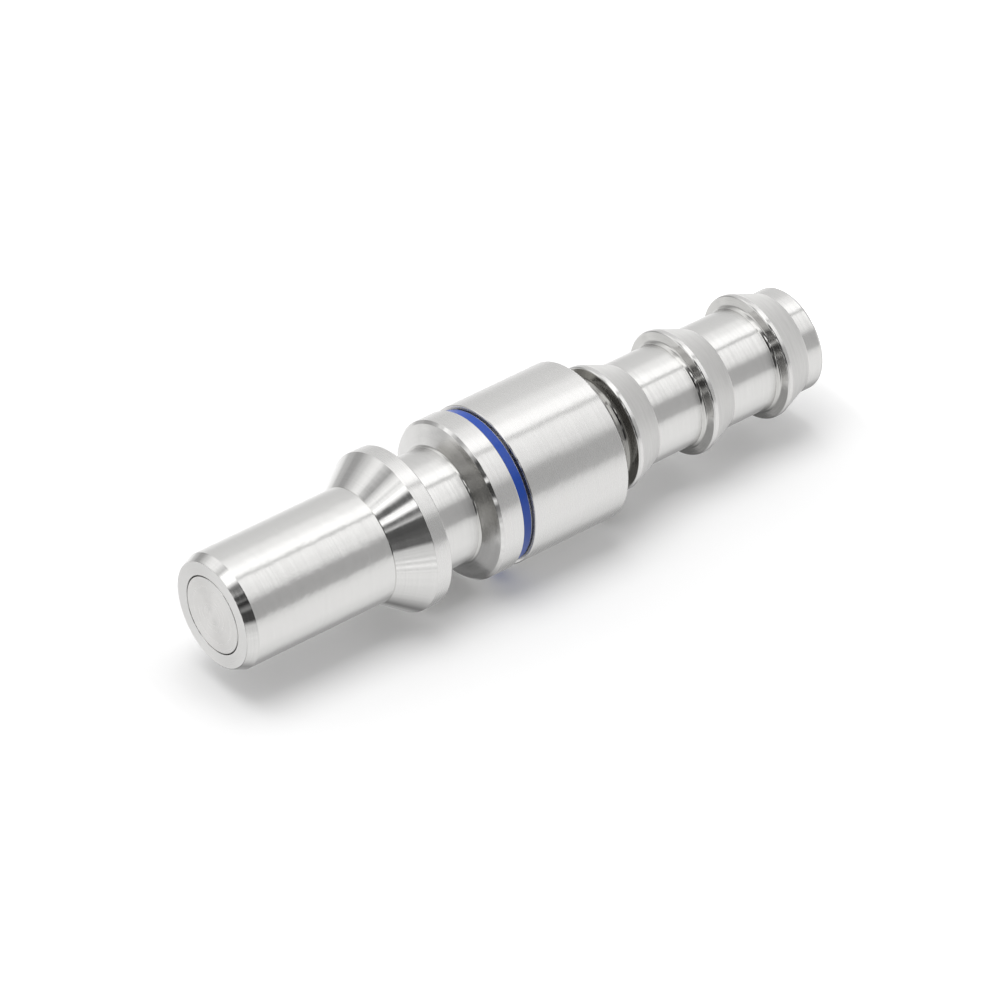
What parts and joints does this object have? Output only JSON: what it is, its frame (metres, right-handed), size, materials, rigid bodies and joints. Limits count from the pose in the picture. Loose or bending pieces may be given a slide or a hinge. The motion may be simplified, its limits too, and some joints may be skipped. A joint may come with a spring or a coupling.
{
  "type": "liquid cooling quick coupling, plug half with hose tail",
  "caption": "Turned steel plug half of a flat-face dripless quick coupling: nose with spring-closed valve, ramp collar, latch neck, blue ring and ridged hose tail.",
  "frame": {"origin": "centre of the box's bottom: on the axis, in the plane of the hose end on which it stands", "axes": "+Z along the coupling's axis from the hose end to the flat nose; X and Y are free, since the outside is round"},
  "size_m": [0.015, 0.015, 0.0644],
  "materials": {
    "turned_steel": "satin turned, fine lines round the axis, polished ramp and lead-in",
    "turned_steel_tail": "satin turned, matt ridge slopes, polished ridge faces",
    "blue_ring": "smooth",
    "poppet_steel": "faced, very fine rings",
    "seal_rubber": "smooth moulded",
    "guide_steel": "turned and milled",
    "spring_steel": "drawn wire"
  },
  "bodies": {
    "coupling_body": {"nose_body": "turned_steel", "hose_tail": "turned_steel_tail", "colour_ring": "blue_ring", "body_seal": "seal_rubber", "valve_guide": "guide_steel", "guide_clip": "spring_steel", "valve_spring": "spring_steel"},
    "valve": {"valve_poppet": "poppet_steel", "poppet_seal": "seal_rubber"}
  },
  "joints": [
    {"name": "valve_slide", "type": "slide", "parent": "coupling_body", "child": "valve", "axis": [0, 0, -1], "range_m": [0, 0.005], "stiffness_N_per_m": 900, "springref_m": -0.0048, "deforming": ["valve_spring"]}
  ]
}
